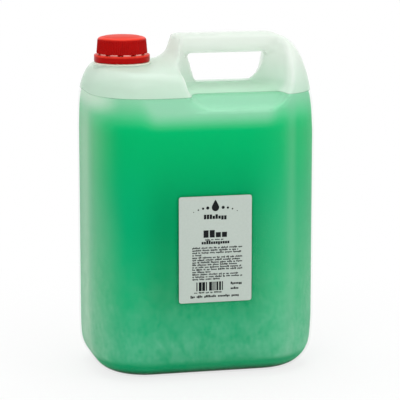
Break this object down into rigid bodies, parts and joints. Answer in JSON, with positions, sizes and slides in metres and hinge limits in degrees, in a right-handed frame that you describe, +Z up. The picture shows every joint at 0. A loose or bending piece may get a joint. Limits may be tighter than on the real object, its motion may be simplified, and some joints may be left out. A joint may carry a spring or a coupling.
{
  "type": "hand soap refill jerrycan",
  "caption": "Five litre translucent jerrycan of liquid hand soap with a moulded top handle, ribbed screw cap with tamper ring, and a paper label on its front.",
  "frame": {"origin": "on the ground under the middle of the can", "axes": "+Z up, +X from the cap towards the handle's outer end, the label's face looks towards -Y"},
  "size_m": [0.188, 0.132, 0.278],
  "materials": {
    "can_plastic": "natural HDPE, blow moulded, milky and see-through, satin gloss",
    "soap": "green liquid soap, still and pearly",
    "closure_plastic": "red polyethylene, injection moulded",
    "liner_foam": "white expanded polyethylene wad",
    "label_paper": "uncoated self-adhesive paper with black print"
  },
  "bodies": {
    "can": {"bottle": "can_plastic", "liquid_soap": "soap", "tamper_ring": "closure_plastic", "front_label": "label_paper"},
    "liner": {"cap_liner": "liner_foam"},
    "cap": {"cap": "closure_plastic"}
  },
  "joints": [
    {"name": "cap_lift", "type": "slide", "parent": "can", "child": "liner", "axis": [0, 0, 1], "range_m": [0, 0.012]},
    {"name": "cap_turn", "type": "hinge", "parent": "liner", "child": "cap", "pos_m": [-0.061, 0, 0.27], "axis": [0, 0, 1], "range_deg": [0, 1080]}
  ],
  "couplings": [
    {"joint": "cap_lift", "follows": "cap_turn", "m_per_rad": 0.0006366}
  ]
}
